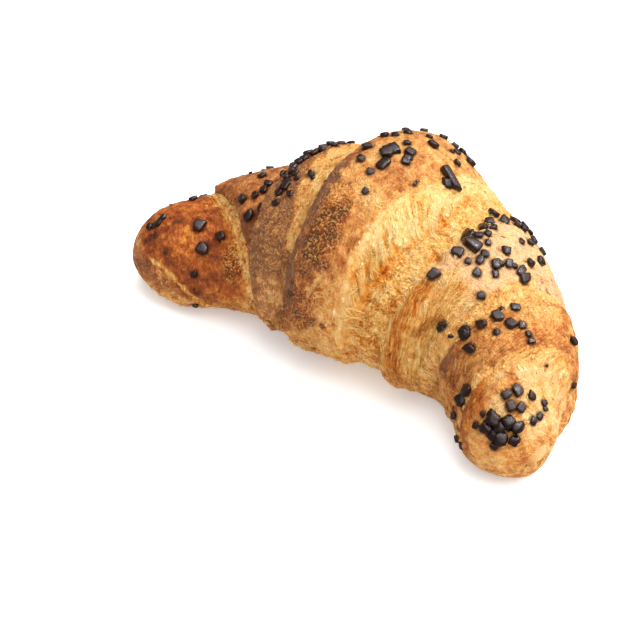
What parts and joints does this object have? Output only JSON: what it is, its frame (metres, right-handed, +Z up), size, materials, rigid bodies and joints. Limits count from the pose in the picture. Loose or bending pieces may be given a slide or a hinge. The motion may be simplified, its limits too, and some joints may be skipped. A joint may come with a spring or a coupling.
{
  "type": "chocolate croissant",
  "caption": "Whole chocolate croissant, crescent of rolled flaky pastry with layered edges and curled horns, sprinkled with dark chocolate pieces, rests on its flat underside as food",
  "frame": {"origin": "Centre of the bounding box seen from above, at the level of the surface the croissant rests on.", "axes": "+X runs along the chord from the left horn to the right horn, +Y towards the bulging side, +Z up."},
  "size_m": [0.1648, 0.0842, 0.0682],
  "materials": {
    "baked_pastry": "browned pastry crust, egg-washed on the crests and pale and fibrous next to the layer edges"
  },
  "bodies": {
    "root": {"croissant": "baked_pastry"}
  },
  "joints": []
}
